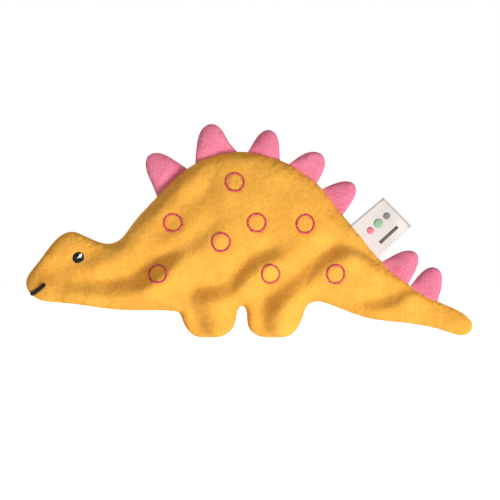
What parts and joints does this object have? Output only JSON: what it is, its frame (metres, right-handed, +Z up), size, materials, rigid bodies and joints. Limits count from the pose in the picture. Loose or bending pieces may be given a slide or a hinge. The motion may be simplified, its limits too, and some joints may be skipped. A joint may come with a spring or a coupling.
{
  "type": "stuffed dinosaur",
  "caption": "Flat soft toy dinosaur of plush fleece with padded dorsal plates, embroidered ring spots and a folded ribbon label; bends at the neck and tail.",
  "frame": {"origin": "middle of the bounding box's bottom face, on the surface that the feet stand on", "axes": "+X from the head to the tail, +Y away from the front flank across the seam plane, +Z up; the seam lies in Y = 0"},
  "size_m": [0.2803, 0.0296, 0.134],
  "materials": {
    "yellow_fleece": "short-pile plush fleece, warm yellow",
    "pink_fleece": "short-pile plush fleece, pink",
    "yellow_thread": "polyester sewing thread and turned-in fleece edges",
    "ring_thread": "dark pink rayon embroidery thread, satin stitch",
    "black_thread": "black rayon embroidery thread, satin stitch",
    "white_thread": "white rayon embroidery thread",
    "ribbon": "off-white woven satin ribbon",
    "motif_ink": null,
    "wadding": "white polyester fibre"
  },
  "bodies": {
    "torso": {"torso_front_skin": "yellow_fleece", "torso_back_skin": "yellow_fleece", "torso_seam": "yellow_thread", "torso_filling": "wadding", "spot_1_front": "ring_thread", "spot_1_back": "ring_thread", "spot_2_front": "ring_thread", "spot_2_back": "ring_thread", "spot_3_front": "ring_thread", "spot_3_back": "ring_thread", "spot_4_front": "ring_thread", "spot_4_back": "ring_thread", "spot_5_front": "ring_thread", "spot_5_back": "ring_thread", "spot_6_front": "ring_thread", "spot_6_back": "ring_thread", "spot_7_front": "ring_thread", "spot_7_back": "ring_thread", "spot_8_front": "ring_thread", "spot_8_back": "ring_thread"},
    "head": {"head_front_skin": "yellow_fleece", "head_back_skin": "yellow_fleece", "head_seam": "yellow_thread", "head_filling": "wadding", "eye_front": "black_thread", "eye_back": "black_thread", "eye_glint_front": "white_thread", "eye_glint_back": "white_thread", "mouth_front": "black_thread", "mouth_back": "black_thread"},
    "tail": {"tail_front_skin": "yellow_fleece", "tail_back_skin": "yellow_fleece", "tail_seam": "yellow_thread", "tail_filling": "wadding", "closing_stitches": "yellow_thread"},
    "plate_1": {"plate_1_front": "pink_fleece", "plate_1_back": "pink_fleece", "plate_1_filling": "wadding"},
    "plate_2": {"plate_2_front": "pink_fleece", "plate_2_back": "pink_fleece", "plate_2_filling": "wadding"},
    "plate_3": {"plate_3_front": "pink_fleece", "plate_3_back": "pink_fleece", "plate_3_filling": "wadding"},
    "plate_4": {"plate_4_front": "pink_fleece", "plate_4_back": "pink_fleece", "plate_4_filling": "wadding"},
    "plate_5": {"plate_5_front": "pink_fleece", "plate_5_back": "pink_fleece", "plate_5_filling": "wadding"},
    "plate_6": {"plate_6_front": "pink_fleece", "plate_6_back": "pink_fleece", "plate_6_filling": "wadding"},
    "plate_7": {"plate_7_front": "pink_fleece", "plate_7_back": "pink_fleece", "plate_7_filling": "wadding"},
    "label": {"label_ribbon": "ribbon", "label_motif": "motif_ink", "label_tacks": "white_thread"}
  },
  "joints": [
    {"name": "neck_bend", "type": "hinge", "parent": "torso", "child": "head", "pos_m": [-0.084, 0, 0.04], "axis": [0, 0, 1], "range_deg": [-40, 40], "stiffness_Nm_per_rad": 0.06},
    {"name": "tail_bend", "type": "hinge", "parent": "torso", "child": "tail", "pos_m": [0.07415, 0, 0.0309], "axis": [0.4182, 0, 0.9083], "range_deg": [-30, 30], "stiffness_Nm_per_rad": 0.06},
    {"name": "plate_1_flop", "type": "hinge", "parent": "torso", "child": "plate_1", "pos_m": [-0.04991, 0, 0.09814], "axis": [0.7148, 0, 0.6993], "range_deg": [-60, 60], "stiffness_Nm_per_rad": 0.002},
    {"name": "plate_2_flop", "type": "hinge", "parent": "torso", "child": "plate_2", "pos_m": [-0.0218, 0, 0.11532], "axis": [0.9624, 0, 0.2718], "range_deg": [-60, 60], "stiffness_Nm_per_rad": 0.002},
    {"name": "plate_3_flop", "type": "hinge", "parent": "torso", "child": "plate_3", "pos_m": [0.00926, 0, 0.11551], "axis": [0.9735, 0, -0.2288], "range_deg": [-60, 60], "stiffness_Nm_per_rad": 0.002},
    {"name": "plate_4_flop", "type": "hinge", "parent": "torso", "child": "plate_4", "pos_m": [0.03426, 0, 0.10403], "axis": [0.8239, 0, -0.5667], "range_deg": [-60, 60], "stiffness_Nm_per_rad": 0.002},
    {"name": "plate_5_flop", "type": "hinge", "parent": "torso", "child": "plate_5", "pos_m": [0.05269, 0, 0.08575], "axis": [0.6247, 0, -0.7809], "range_deg": [-60, 60], "stiffness_Nm_per_rad": 0.002},
    {"name": "plate_6_flop", "type": "hinge", "parent": "tail", "child": "plate_6", "pos_m": [0.09177, 0, 0.04121], "axis": [0.7632, 0, -0.6462], "range_deg": [-60, 60], "stiffness_Nm_per_rad": 0.002},
    {"name": "plate_7_flop", "type": "hinge", "parent": "tail", "child": "plate_7", "pos_m": [0.10986, 0, 0.02839], "axis": [0.8579, 0, -0.5137], "range_deg": [-60, 60], "stiffness_Nm_per_rad": 0.002},
    {"name": "label_flop", "type": "hinge", "parent": "torso", "child": "label", "pos_m": [0.07321, 0, 0.06122], "axis": [0.6453, 0, -0.7639], "range_deg": [-75, 75], "stiffness_Nm_per_rad": 0.0006}
  ]
}
